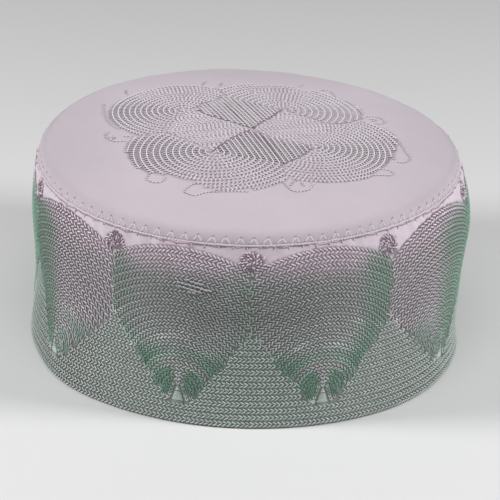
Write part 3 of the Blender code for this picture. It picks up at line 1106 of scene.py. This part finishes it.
def stitch_motifs(form, thread):
    """Satin stitch below each lobe's point: a dark flat base that is the motif's painted shadow, a
    tapering body and a small cap.
    """
    stitches = Stitches(SEEDS["motifs"])
    body = np.concatenate([np.arange(10.7, 14.6, 0.42), np.arange(15.5, 17.3, 0.42)])
    half = np.interp(body, [10.7, 14.5, 15.4, 15.5, 17.3], [2.8, 1.5, 0.9, 1.2, 0.2])
    base = np.arange(8.8, 10.2, 0.4)
    base_half = np.array([2.2, 3.0, 3.0, 2.2])
    for lobe in LOBES:
        x = way_round(lobe.point)
        # The base's thread at about half brightness: the motif's painted shadow
        for heights, halves, tone, arch in ((body, half, 1.0, 0.25), (base, base_half, 0.55, 0.1)):
            tail, tip = (pairs(x + sign * halves, heights) for sign in (-1.0, 1.0))
            stitches.add(tail, tip, 0.26, 0.24, 0.1, 0.1, arch, 0.0, thread_dye(tail, thread) * tone)
    return grain_mesh("point_motifs", stitches, form.wall)


def petal_outline(index):
    """A petal's closed outline: out along its own arm, round it, and back along the next arm."""
    after = (index + 1) % len(PETALS)
    last_end = [ARMS[after][-1]] + ENDS[after]
    knots = ARMS[index] + ENDS[index] + EDGES[index] + last_end[::-1] + ARMS[after][-2::-1]
    return np.array(knots, dtype=float)


def petal_line(petal, distance):
    """A row at a distance from the petal's point: part of a ring, then straight to the centre."""
    turn = np.radians(np.arange(petal.end, petal.bend, 14.0 / distance))
    ring = np.array([petal.x, petal.y]) + distance * pairs(np.cos(turn), np.sin(turn))
    way = np.radians(petal.inwards)
    straight = ring[-1] + np.arange(0.25, 90.0, 0.25)[:, None] * np.array([np.cos(way), np.sin(way)])
    return soften(np.concatenate([ring, straight]), 8)


def painted_row_shade(petal, chart):
    """Painted shade on the cloth between a petal's rows: deepest where they run front to back."""
    x, y = chart[:, 0] - petal.x, chart[:, 1] - petal.y
    angle = np.degrees(np.arctan2(y, x))
    ring = np.mod(angle - petal.end, 360.0) < petal.bend - petal.end
    straight = 1.1 * np.sin(np.radians(petal.inwards)) ** 2 - 0.05
    return np.where(ring, (0.05 + 0.95 * np.cos(np.radians(angle)) ** 2) * petal.depth, straight)


def stitch_petal(index, form, cloth, thread):
    """One petal of the rosette: rows of chain, each with a raised dashed cord along its middle.

    Painted light picks out the rows that run front to back: their stitches are white, and
    darker where the painted shade between the rows is deep, while those that run across take
    the crown's own colour.
    """
    petal = PETALS[index]
    stitches = Stitches(SEEDS["petal"] + index)
    outline = petal_outline(index)
    white, plain = np.array(thread.rosette_colour), np.array(cloth.crown_colour) * 1.2
    for distance in np.arange(0.6 * petal.pitch, 75.0, petal.pitch):
        line = petal_line(petal, distance)
        for run in runs_inside(line, room_inside(line, outline) > 0.45):
            place, way = step_along(run, thread.stitch_length / MM * 0.97, stitches.chance.uniform(0.0, 1.0))
            # Painted highlight: stitches whiter where the row runs front to back
            painted_sheen_share = 0.25 + 0.75 * np.abs(way[:, 1:])
            # Painted shade on the stitches where the shade between the rows is deep
            dark = painted_row_shade(petal, place) ** 2
            dye = (plain * (1 - painted_sheen_share) + white * painted_sheen_share) * (1 - 0.22 * dark[:, None])
            stitches.chain(place, way, 0.5 * petal.pitch, 0.5, 0.4 - 0.13 * dark, dye,
                           tip_lift=0.36, tail_lift=0.2, gaps=(0.25, 0.0))
            place, way = step_along(run, CORD_PITCH)
            # The same painted highlight on the cords
            painted_sheen_share = 0.15 + 0.85 * np.abs(way[:, 1:])
            dye = plain * (1 - painted_sheen_share) + white * painted_sheen_share * 1.1
            half = (0.78 + 0.2 * way[:, 1:] ** 2) * way
            stitches.add(place - half, place + half, 0.31, 0.28, 0.42, 0.42, 0.0, 0.0, dye)
    return grain_mesh(f"petal_{index + 1}", stitches, form.top)


def stitch_curls(form, cloth, thread):
    """Single strands that curl round the petals, each beside a dark strand that is its painted
    shadow, and the rosette's dark lines.
    """
    stitches = Stitches(SEEDS["curls"])
    dark, plum = np.array(cloth.dark_thread_and_shadow_colour), np.array(cloth.stitch_shadow_colour)
    white = np.array(thread.rosette_colour)
    # Painted shadow strands along two of the arms, where the rows end
    for knots in ARMS[::2]:
        stitches.strand(round_line(knots), 1.3, 0.36, 0.2, 0.3, dark * 0.7)
    for knots in BANDS:
        place, way = step_along(round_line(knots), CORD_PITCH)
        stitches.chain(place, way, 2.1, 1.0, 0.34, plum * 0.8, tip_lift=0.4, tail_lift=0.34, gaps=(0.8, 0.2),
                       aside=0.5)
    for knots in CURLS:
        line = round_line(knots)
        # A dark strand under each curl: its painted shadow
        stitches.strand(line, 1.1, 0.42, 0.14, 0.05, dark * 0.7)
        place, way = step_along(line, 1.5)
        stitches.chain(place, way, 0.5, 1.2, 0.22, white, tip_lift=0.25, gaps=(0.05, 0.05))
    return grain_mesh("curls", stitches, form.top)


def zigzag_feet(thread):
    """Where the zigzag's triangles start along the seam, and how far apart."""
    count = int(AROUND / thread.zigzag_pitch * MM)
    return np.arange(count) * AROUND / count - 0.8, AROUND / count


def stitch_seam(form, cloth, thread):
    """The seam's cord and, above it, the zigzag of open triangles, each leg beside a dark strand
    that is its painted shadow.
    """
    stitches = Stitches(SEEDS["seam"])
    foot, pitch = zigzag_feet(thread)
    white, dark = np.array(thread.high_colour), np.array(cloth.dark_thread_and_shadow_colour)

    def places(share, height, jog):
        level = pairs(foot + share * pitch, height)
        return level + stitches.chance.normal(0.0, jog, level.shape)

    peak = places(0.5, thread.zigzag_height / MM, 0.15)
    for share, aside in ((0.19, -0.4), (0.81, 0.4)):
        start = places(share, 0.8, 0.12)
        stitches.add(start, peak, 0.42, 0.15, 0.03, 0.08, 0.06, 0.0, white)
        # Beside each leg, a dark strand: its painted shadow
        stitches.add(start + [aside, 0.1], peak + [0.6 * aside, 0.25], 0.28, 0.08, 0.0, 0.0, 0.03, 0.0, dark)
    stitches.add(peak + [-0.1, 0.1], peak + [0.35, 0.7], 0.24, 0.12, 0.08, 0.04, 0.05, 0.0, dark)
    for share in np.arange(0.0, 0.9, 0.25):
        start = places(share, 0.25, 0.05)
        stitches.add(start, start + [0.36 * pitch, 0.0], 0.5, 0.26, 0.08, 0.08, 0.1, 0.05, white)
    return grain_mesh("seam_stitches", stitches, form.shoulder)


# finishes


class Finish:
    """A material's nodes, added one after another, and the plain values of its shader."""

    def __init__(self, name, **values):
        self.material = bpy.data.materials.new(name)
        self.material.use_nodes = True
        self.nodes = self.material.node_tree.nodes
        self.links = self.material.node_tree.links
        self.shader = self.nodes["Principled BSDF"]
        for key, value in values.items():
            self.shader.inputs[key.replace("_", " ")].default_value = value

    def node(self, kind, **values):
        """A new node with values for its own properties or, by their names, for its inputs."""
        made = self.nodes.new(kind)
        for key, value in values.items():
            if hasattr(made, key):
                setattr(made, key, value)
            else:
                made.inputs[key.replace("_", " ")].default_value = value
        return made

    def maths(self, operation, first, second=None):
        """A maths node over numbers or other nodes' values."""
        made = self.node("ShaderNodeMath", operation=operation)
        for slot, value in enumerate((first, second)):
            if isinstance(value, (int, float)):
                made.inputs[slot].default_value = value
            elif value is not None:
                self.links.new(value, made.inputs[slot])
        return made.outputs[0]

    def scaled(self, value, factor, plus=0.0):
        """The value times a factor, and more where a number or a node's value is to be added."""
        return self.maths("ADD", self.maths("MULTIPLY", value, factor), plus)

    def lay(self):
        """The two ways of the piece's own map, in millimetres."""
        apart = self.node("ShaderNodeSeparateXYZ")
        self.links.new(self.node("ShaderNodeUVMap", uv_map="lay").outputs["UV"], apart.inputs[0])
        return apart.outputs["X"], apart.outputs["Y"]

    def noise(self, **values):
        """Noise over the object's own coordinates."""
        made = self.node("ShaderNodeTexNoise", **values)
        self.links.new(self.node("ShaderNodeTexCoord").outputs["Object"], made.inputs["Vector"])
        return made.outputs["Fac"]

    def colour(self, colour, shade):
        """The base colour: a colour times a shade. Without a colour it is the piece's own dye."""
        if colour is None:
            colour = self.node("ShaderNodeAttribute", attribute_name="dye").outputs["Color"]
        made = self.node("ShaderNodeVectorMath", operation="SCALE")
        self.links.new(colour, made.inputs[0])
        self.links.new(shade, made.inputs["Scale"])
        self.links.new(made.outputs[0], self.shader.inputs["Base Color"])

    def bump(self, height, strength, distance, after=None):
        """Bump from a height, over the bump that came before it."""
        made = self.node("ShaderNodeBump", Strength=strength, Distance=distance)
        self.links.new(height, made.inputs["Height"])
        if after is not None:
            self.links.new(after, made.inputs["Normal"])
        self.links.new(made.outputs["Normal"], self.shader.inputs["Normal"])
        return made.outputs["Normal"]


def cloth_finish(name, pitch):
    """Plain weave: crossed sine ridges in the cloth's own map, slubs, and a faint crepe."""
    finish = Finish(name, Roughness=0.85, Sheen_Weight=0.25, Sheen_Roughness=0.5, Specular_IOR_Level=0.2)
    turn = 2.0 * pi / (pitch / MM)
    warp, weft = (finish.maths("SINE", finish.maths("MULTIPLY", way, turn)) for way in finish.lay())
    weave = finish.maths("MULTIPLY", warp, weft)
    slub = finish.noise(Scale=900.0, Detail=3.0)
    cloud = finish.noise(Scale=38.0, Detail=4.0, Roughness=0.55)
    crepe = finish.noise(Scale=170.0, Detail=3.0, Roughness=0.6)
    finish.colour(None, finish.scaled(weave, 0.03, finish.scaled(cloud, 0.14, 0.93)))
    normal = finish.bump(crepe, 0.35, 0.6 * MM)
    finish.bump(finish.maths("ADD", weave, slub), 0.3, 0.06 * MM, normal)
    return finish.material


def thread_finish(name, sheen):
    """Spun thread: its two plies wind round the grain as ridges in the grain's own map."""
    finish = Finish(name, Roughness=0.5, Sheen_Weight=sheen, Sheen_Roughness=0.4, Specular_IOR_Level=0.45)
    along, across = finish.lay()
    ply = finish.maths("SINE", finish.scaled(along, 9.0, finish.maths("MULTIPLY", across, 2.0 * pi)))
    fuzz = finish.noise(Scale=2600.0, Detail=2.0)
    cloud = finish.noise(Scale=60.0, Detail=3.0)
    finish.colour(None, finish.scaled(ply, 0.04, finish.scaled(cloud, 0.16, 0.92)))
    finish.bump(finish.scaled(fuzz, 0.6, ply), 0.4, 0.05 * MM)
    return finish.material


def plain_finish(name, colour):
    """A matt pale floor with a faint, broad mottle."""
    finish = Finish(name, Roughness=0.9)
    base = finish.node("ShaderNodeRGB").outputs[0]
    base.default_value = (*colour, 1.0)
    finish.colour(base, finish.scaled(finish.noise(Scale=3.0, Detail=2.0), 0.04, 0.98))
    return finish.material


def made_once(name, build, *values):
    """The material of that name, built the first time that it is asked for."""
    return bpy.data.materials.get(name) or build(name, *values)


# stage


# The camera's place and the point that it looks at, from the fit to the photograph, and the
# lamps, round ones that shine at one point
CAMERA_PLACE = Vector((0.55, -1084.8, 553.5)) * MM
CAMERA_TARGET = Vector((0.55, -1.08, 38.18)) * MM
LAMP_TARGET = Vector((0.0, 0.0, 0.05))
Lamp = namedtuple("Lamp", "name place size power")
LAMPS = [
    Lamp("lamp_over", (0.0, -0.3, 0.95), 0.5, 1.8),
    Lamp("lamp_left", (-0.85, -0.2, 0.61), 0.3, 7.4),
    Lamp("lamp_right", (0.85, -0.2, 0.61), 0.3, 7.4),
]
FLOOR_HALF = 3.0


def add_lamp(name, place, size, power):
    """A round white lamp that shines at the cap's middle."""
    lamp = bpy.data.lights.new(name, "AREA")
    lamp.shape = "DISK"
    lamp.size = size
    lamp.energy = power
    piece = bpy.data.objects.new(name, lamp)
    piece.location = place
    piece.rotation_euler = (Vector(place) - LAMP_TARGET).to_track_quat("Z", "Y").to_euler()
    bpy.context.scene.collection.objects.link(piece)


def aim_camera(place, target, roll):
    """A camera turn: looks at the target, then rolls about its own line of sight."""
    back = (place - target).normalized()
    right = Vector((0.0, 0.0, 1.0)).cross(back).normalized()
    up = back.cross(right)
    level = Matrix((right, up, back)).transposed()
    return level @ Matrix.Rotation(roll, 3, "Z")


# settings, operators and panel


def size_setting(name, description, usual, least, most):
    """A size that a user can change; its three values are in millimetres."""
    return FloatProperty(name=name, description=description, unit="LENGTH",
                         default=usual * MM, min=least * MM, max=most * MM)


def colour_setting(name, description, *usual):
    """A colour that a user can change."""
    return FloatVectorProperty(name=name, description=description, subtype="COLOR",
                               default=usual, min=0.0, max=1.0)


class CapClothSettings(PropertyGroup):
    """The cloths' sizes and colours"""

    crown_thickness: size_setting("Crown cloth", "Thickness of the crown's cloth", 1.4, 0.2, 3.0)
    band_thickness: size_setting("Band cloth", "Thickness of the band's cloth", 2.0, 0.5, 3.0)
    weave: size_setting("Weave", "Distance between threads of the plain weave", 0.5, 0.2, 2.0)
    crown_colour: colour_setting("Crown", "Colour of the crown's cloth", 0.515, 0.45, 0.498)
    lilac_colour: colour_setting("Lilac", "Colour of the band's cloth near the seam", 0.60, 0.52, 0.58)
    green_colour: colour_setting("Green", "Colour of the band's cloth lower down", 0.24, 0.32, 0.28)
    # Painted shade between the band's stitches: the share of its colour that the cloth keeps there
    shade: FloatProperty(name="Shade", description="Share of its colour that cloth keeps under stitches",
                         default=0.38, min=0.0, max=1.0, subtype="FACTOR")
    # Painted shadow colour between the band's stitches and of the dark strand beside each satin strand; the
    # rosette's dark bands take it too
    stitch_shadow_colour: colour_setting("Plum", "Colour that shows between the band's stitches", 0.22, 0.145, 0.18)
    # Dark strands: painted shadow at the seam's groove, beside the zigzag's legs and the curls and along two
    # of the rosette's arms; also the dark stitches of the knots and of the ticks below the seam
    dark_thread_and_shadow_colour: colour_setting("Seam", "Colour of the dark strands at seam and curls", 0.37, 0.245, 0.315)
    # Painted shade between the rosette's rows
    rosette_shadow_colour: colour_setting("Rosette's ground", "Colour under its stitches", 0.11, 0.07, 0.09)
    deep_green_colour: colour_setting("Deep green", "Colour in the lobes' low corners", 0.165, 0.29, 0.22)


class CapThreadSettings(PropertyGroup):
    """The stitches' sizes and the threads' colours"""

    stitch_length: size_setting("Stitch", "Length of a chain stitch", 1.88, 1.0, 4.0)
    leg_length: size_setting("Leg", "How far a stitch's two legs run along its row", 1.9, 1.0, 5.0)
    grain_width: size_setting("Thread", "Width of the thread as it lies", 0.7, 0.2, 2.0)
    lobe_row: size_setting("Lobe rows", "Distance between the rows in a lobe", 3.25, 1.0, 8.0)
    ground_row: size_setting("Ground rows", "Distance between the rows along the rim", 3.0, 1.0, 8.0)
    zigzag_pitch: size_setting("Zigzag pitch", "Width of a triangle of the zigzag", 5.9, 2.0, 12.0)
    zigzag_height: size_setting("Zigzag height", "Height of the zigzag above the seam", 3.3, 2.0, 10.0)
    high_colour: colour_setting("Near the seam", "Colour of the thread near the seam", 0.66, 0.58, 0.64)
    lobe_colour: colour_setting("In the lobes", "Colour of the thread low in the lobes", 0.45, 0.51, 0.48)
    ground_colour: colour_setting("Between the lobes", "Colour of the ground's thread", 0.44, 0.52, 0.475)
    green_colour: colour_setting("Green", "Colour of the lobes' green thread", 0.20, 0.36, 0.27)
    rosette_colour: colour_setting("Rosette", "Colour of the rosette's thread", 0.70, 0.65, 0.69)


class CapStageSettings(PropertyGroup):
    """The floor, the lamps and the camera"""

    floor_colour: colour_setting("Floor", "Colour of the floor", 0.70, 0.70, 0.70)
    light: FloatProperty(name="Light", description="Strength of all the lamps together",
                         default=1.0, min=0.0, max=10.0)
    lens: FloatProperty(name="Lens", description="The camera's focal length in millimetres",
                        default=193.1, min=20.0, max=400.0)
    roll: FloatProperty(name="Roll", description="How far the camera is turned about its line of sight",
                        default=radians(1.8), min=-pi, max=pi, subtype="ANGLE")


class CapOperator:
    """What all the cap's operators share: the form, read once, the settings and the threads."""

    bl_options = {"REGISTER", "UNDO"}
    form = None

    def parts(self, context):
        """The cap's form, the cloths' settings and the threads'."""
        if CapOperator.form is None:
            CapOperator.form = CapForm()
        return CapOperator.form, context.scene.cap_cloth, context.scene.cap_thread

    def sew_band(self, *meshes):
        """Stitches on the side band."""
        for mesh in meshes:
            add_piece(mesh, made_once("band_thread", thread_finish, 0.12))

    def sew_crown(self, *meshes):
        """Stitches on the crown tip."""
        for mesh in meshes:
            add_piece(mesh, made_once("crown_thread", thread_finish, 0.3))


class CAP_OT_crown_cloth(CapOperator, Operator):
    """Makes the crown's cloth, which takes the place of the frame's crown"""

    bl_idname = "cap.crown_cloth"
    bl_label = "Crown cloth"

    def execute(self, context):
        form, cloth, _ = self.parts(context)
        material = made_once("crown_weave", cloth_finish, cloth.weave)
        piece = add_piece(build_crown_cloth(form, cloth), material)
        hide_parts(CROWN)
        return {"FINISHED"}


class CAP_OT_band_cloth(CapOperator, Operator):
    """Makes the band's cloth, which takes the place of the frame's band"""

    bl_idname = "cap.band_cloth"
    bl_label = "Band cloth"

    def execute(self, context):
        form, cloth, _ = self.parts(context)
        material = made_once("band_weave", cloth_finish, cloth.weave)
        piece = add_piece(build_band_cloth(form, cloth), material)
        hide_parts(BAND)
        return {"FINISHED"}


class CAP_OT_lobes(CapOperator, Operator):
    """Stitches the nine fan-shaped lobes of the band"""

    bl_idname = "cap.lobes"
    bl_label = "Lobes"

    def execute(self, context):
        form, _, thread = self.parts(context)
        for index in range(len(LOBES)):
            self.sew_band(stitch_lobe(index, form, thread))
        return {"FINISHED"}


class CAP_OT_ground(CapOperator, Operator):
    """Stitches the ground between the lobes and the border below them"""

    bl_idname = "cap.ground"
    bl_label = "Ground and border"

    def execute(self, context):
        form, _, thread = self.parts(context)
        for index in range(len(LOBES)):
            self.sew_band(stitch_ground(index, form, thread))
        self.sew_band(stitch_border(form, thread))
        return {"FINISHED"}


class CAP_OT_knots(CapOperator, Operator):
    """Stitches the whorled knots at the seam, the motifs below the lobes and the satin strands"""

    bl_idname = "cap.knots"
    bl_label = "Knots and motifs"

    def execute(self, context):
        form, cloth, thread = self.parts(context)
        self.sew_band(stitch_knots(form, cloth, thread), stitch_motifs(form, thread))
        self.sew_band(stitch_strands(form, cloth, thread))
        return {"FINISHED"}


class CAP_OT_rosette(CapOperator, Operator):
    """Stitches the crown's four petals and the curls around them"""

    bl_idname = "cap.rosette"
    bl_label = "Rosette"

    def execute(self, context):
        parts = self.parts(context)
        for index in range(len(PETALS)):
            self.sew_crown(stitch_petal(index, *parts))
        self.sew_crown(stitch_curls(*parts))
        return {"FINISHED"}


class CAP_OT_seam(CapOperator, Operator):
    """Stitches the run stitch on the seam and the zigzag above it"""

    bl_idname = "cap.seam"
    bl_label = "Seam"

    def execute(self, context):
        self.sew_crown(stitch_seam(*self.parts(context)))
        return {"FINISHED"}


class CAP_OT_declare(CapOperator, Operator):
    """A step that does nothing: the flat sizes that the two cloths were cut to are not stated"""

    bl_idname = "cap.declare"
    bl_label = "Cloth sizes"

    def execute(self, context):
        return {"FINISHED"}


class CAP_OT_stage(CapOperator, Operator):
    """Sets the floor, the lamps and the camera"""

    bl_idname = "cap.stage"
    bl_label = "Stage"

    def execute(self, context):
        scene, stage = context.scene, context.scene.cap_stage
        corners = FLOOR_HALF * np.array([[-1, -1, 0], [1, -1, 0], [1, 1, 0], [-1, 1, 0]])
        mesh = fill_mesh("floor", corners, np.arange(4), np.array([4]), corners[:, :2], np.ones((4, 3)))
        floor = bpy.data.objects.new("floor", mesh)
        scene.collection.objects.link(floor)
        mesh.materials.append(made_once("floor_matt", plain_finish, tuple(stage.floor_colour)))

        for lamp in LAMPS:
            add_lamp(lamp.name, lamp.place, lamp.size, lamp.power * stage.light)
        world = bpy.data.worlds.new("room")
        world.use_nodes = True
        world.node_tree.nodes["Background"].inputs["Color"].default_value = (0.9, 0.9, 0.92, 1.0)
        world.node_tree.nodes["Background"].inputs["Strength"].default_value = 0.2
        scene.world = world
        scene.view_settings.view_transform = "Standard"

        camera = bpy.data.cameras.new("photo_view")
        camera.sensor_width = 36.0
        camera.lens = stage.lens
        camera.clip_start, camera.clip_end = 0.05, 20.0
        view = bpy.data.objects.new("photo_view", camera)
        turn = aim_camera(CAMERA_PLACE, CAMERA_TARGET, stage.roll)
        view.matrix_world = Matrix.Translation(CAMERA_PLACE) @ turn.to_4x4()
        scene.collection.objects.link(view)
        scene.camera = view
        return {"FINISHED"}


STEPS = (
    CAP_OT_crown_cloth,
    CAP_OT_band_cloth,
    CAP_OT_lobes,
    CAP_OT_ground,
    CAP_OT_knots,
    CAP_OT_rosette,
    CAP_OT_seam,
    CAP_OT_declare,
    CAP_OT_stage,
)


class CAP_PT_sidebar(Panel):
    """The steps that dress the cap, with their settings"""

    bl_idname = "CAP_PT_sidebar"
    bl_label = "Embroidered cap"
    bl_space_type = "VIEW_3D"
    bl_region_type = "UI"
    bl_category = "Cap"

    def draw(self, context):
        layout = self.layout
        for name in SETTINGS:
            settings = getattr(context.scene, name)
            box = layout.box()
            for key in settings.bl_rna.properties.keys():
                if key not in {"rna_type", "name"}:
                    box.prop(settings, key)
        for step in STEPS:
            layout.operator(step.bl_idname)


SETTINGS = {"cap_cloth": CapClothSettings, "cap_thread": CapThreadSettings, "cap_stage": CapStageSettings}
CLASSES = (*SETTINGS.values(), *STEPS, CAP_PT_sidebar)


def register():
    for kind in CLASSES:
        bpy.utils.register_class(kind)
    for name, kind in SETTINGS.items():
        setattr(bpy.types.Scene, name, PointerProperty(type=kind))


def unregister():
    for name in SETTINGS:
        delattr(bpy.types.Scene, name)
    for kind in reversed(CLASSES):
        bpy.utils.unregister_class(kind)


def main():
    register()
    for step in STEPS:
        family, name = step.bl_idname.split(".")
        getattr(getattr(bpy.ops, family), name)()


if __name__ == "__main__":
    main()
